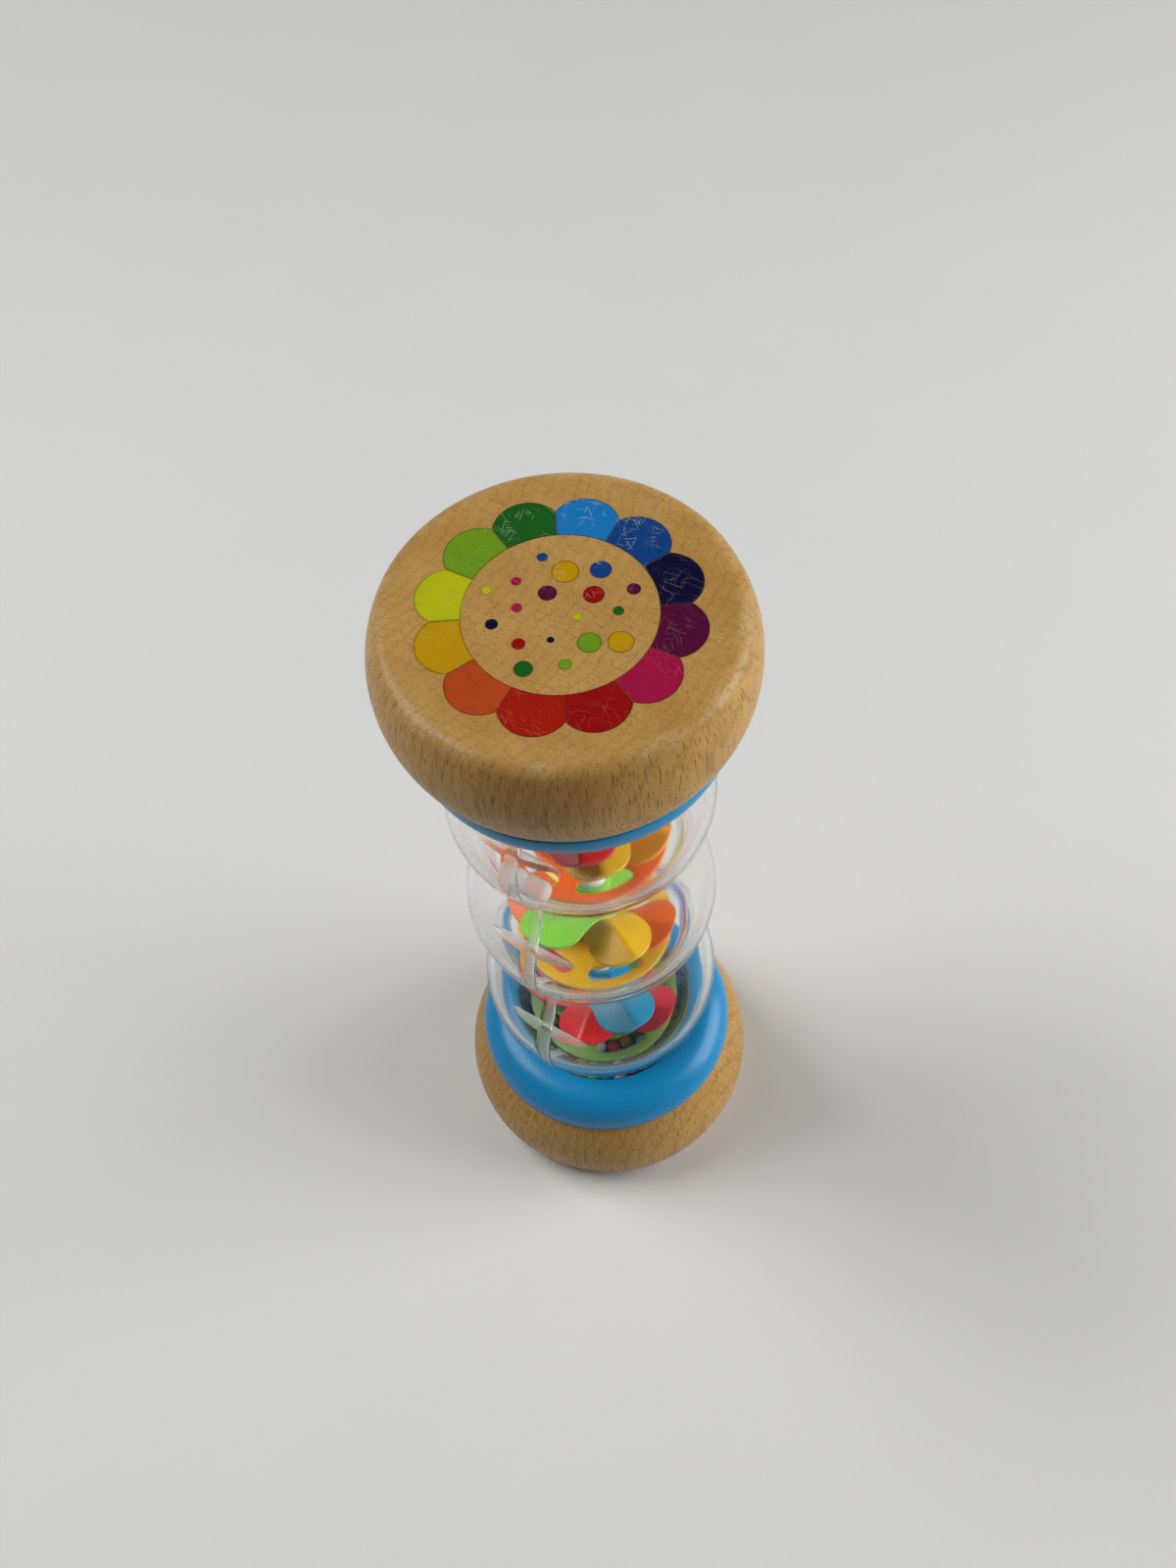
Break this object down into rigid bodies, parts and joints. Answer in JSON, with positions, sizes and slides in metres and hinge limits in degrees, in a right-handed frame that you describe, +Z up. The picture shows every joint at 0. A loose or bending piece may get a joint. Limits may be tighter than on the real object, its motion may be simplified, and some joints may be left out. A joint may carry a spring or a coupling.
{
  "type": "rainmaker rattle",
  "caption": "Baby's rainmaker rattle with turned wooden ends, blue collars and a clear wavy body, in which beads fall past slotted discs and spinning petal plates.",
  "frame": {"origin": "middle of the lower wooden end's flat face, which it stands on", "axes": "+Z up along the axle, -Y towards the picture's viewer, +X to the viewer's right"},
  "size_m": [0.066, 0.066, 0.1808],
  "materials": {
    "beech": "turned and lacquered, satin",
    "sky_blue_plastic": "glossy, moulded",
    "clear_plastic": "clear, polished mould",
    "white_plastic": "glossy, moulded",
    "red_plastic": "glossy, moulded",
    "crimson_plastic": "glossy, moulded",
    "orange_plastic": "glossy, moulded",
    "amber_plastic": "glossy, moulded",
    "yellow_plastic": "glossy, moulded",
    "green_plastic": "glossy, moulded",
    "lime_plastic": "glossy, moulded",
    "blue_plastic": "glossy, moulded"
  },
  "bodies": {
    "body": {"lower_end": "beech", "upper_end": "beech", "lower_collar": "sky_blue_plastic", "upper_collar": "sky_blue_plastic", "right_shell": "clear_plastic", "left_shell": "clear_plastic", "axle": "white_plastic", "green_disc": "green_plastic", "yellow_disc": "yellow_plastic", "orange_disc": "orange_plastic", "red_disc": "red_plastic", "lower_short_sleeve": "white_plastic", "lower_long_sleeve": "white_plastic", "middle_short_sleeve": "white_plastic", "middle_long_sleeve": "white_plastic", "upper_short_sleeve": "white_plastic", "upper_long_sleeve": "white_plastic"},
    "upper_red_plate": {"upper_red_plate": "red_plastic"},
    "upper_yellow_plate": {"upper_yellow_plate": "yellow_plastic"},
    "upper_amber_plate": {"upper_amber_plate": "amber_plastic"},
    "middle_green_plate": {"middle_green_plate": "lime_plastic"},
    "middle_yellow_plate": {"middle_yellow_plate": "yellow_plastic"},
    "middle_orange_plate": {"middle_orange_plate": "orange_plastic"},
    "lower_blue_plate": {"lower_blue_plate": "blue_plastic"},
    "lower_red_plate": {"lower_red_plate": "red_plastic"},
    "lower_crimson_plate": {"lower_crimson_plate": "crimson_plastic"},
    "beads": {"red_beads": "red_plastic", "yellow_beads": "yellow_plastic", "green_beads": "lime_plastic", "blue_beads": "blue_plastic", "white_beads": "white_plastic"}
  },
  "joints": [
    {"name": "upper_red_spin", "type": "hinge", "parent": "body", "child": "upper_red_plate", "pos_m": [0, 0, 0.128], "axis": [0, 0, 1], "continuous": true},
    {"name": "upper_yellow_spin", "type": "hinge", "parent": "body", "child": "upper_yellow_plate", "pos_m": [0, 0, 0.1225], "axis": [0, 0, 1], "continuous": true},
    {"name": "upper_amber_spin", "type": "hinge", "parent": "body", "child": "upper_amber_plate", "pos_m": [0, 0, 0.117], "axis": [0, 0, 1], "continuous": true},
    {"name": "middle_green_spin", "type": "hinge", "parent": "body", "child": "middle_green_plate", "pos_m": [0, 0, 0.0894], "axis": [0, 0, 1], "continuous": true},
    {"name": "middle_yellow_spin", "type": "hinge", "parent": "body", "child": "middle_yellow_plate", "pos_m": [0, 0, 0.0839], "axis": [0, 0, 1], "continuous": true},
    {"name": "middle_orange_spin", "type": "hinge", "parent": "body", "child": "middle_orange_plate", "pos_m": [0, 0, 0.0784], "axis": [0, 0, 1], "continuous": true},
    {"name": "lower_blue_spin", "type": "hinge", "parent": "body", "child": "lower_blue_plate", "pos_m": [0, 0, 0.0508], "axis": [0, 0, 1], "continuous": true},
    {"name": "lower_red_spin", "type": "hinge", "parent": "body", "child": "lower_red_plate", "pos_m": [0, 0, 0.0453], "axis": [0, 0, 1], "continuous": true},
    {"name": "lower_crimson_spin", "type": "hinge", "parent": "body", "child": "lower_crimson_plate", "pos_m": [0, 0, 0.0398], "axis": [0, 0, 1], "continuous": true},
    {"name": "bead_fall", "type": "slide", "parent": "body", "child": "beads", "axis": [0, 0, 1], "range_m": [0, 0.011]}
  ]
}
